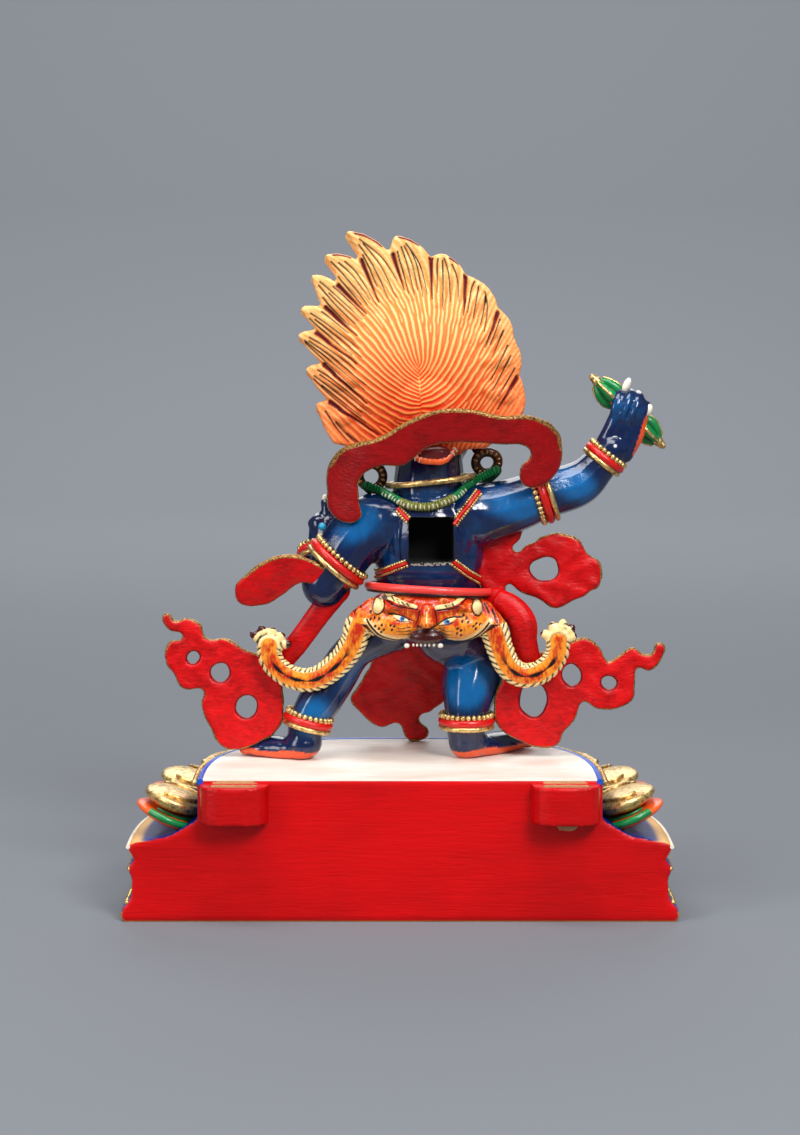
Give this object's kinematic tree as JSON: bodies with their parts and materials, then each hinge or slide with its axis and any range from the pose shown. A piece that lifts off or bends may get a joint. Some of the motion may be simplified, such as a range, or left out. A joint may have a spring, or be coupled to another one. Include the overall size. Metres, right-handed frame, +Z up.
{
  "type": "vajrapani statue",
  "caption": "Painted statuette of Vajrapani with flaming hair, stepping on a half-round lotus throne with a flat back and sockets for a halo.",
  "frame": {"origin": "centre of the throne's underside, midway across its width and midway between the back wall and the front of the bottom moulding", "axes": "+Z up; the figure faces -Y, so the flat back wall with the halo sockets faces +Y and the raised right hand with the vajra is on the -X side"},
  "size_m": [0.177, 0.109, 0.217],
  "materials": {
    "blue_paint": "hand-brushed dark blue enamel over cast resin, glossy, with lighter blue where it is thin",
    "red_paint": "hand-brushed bright red paint, satin, with brush marks",
    "hair_paint": "orange wash over cream, satin, darker in the grooves",
    "gold_paint": "gold paint with bronze shading",
    "tiger_paint": "orange and cream paint with black strokes, satin",
    "cream_paint": "thin cream-white paint, satin",
    "green_paint": "green enamel over orange, satin"
  },
  "bodies": {
    "root": {"figure": "blue_paint", "lotus_throne": "red_paint"}
  },
  "joints": []
}
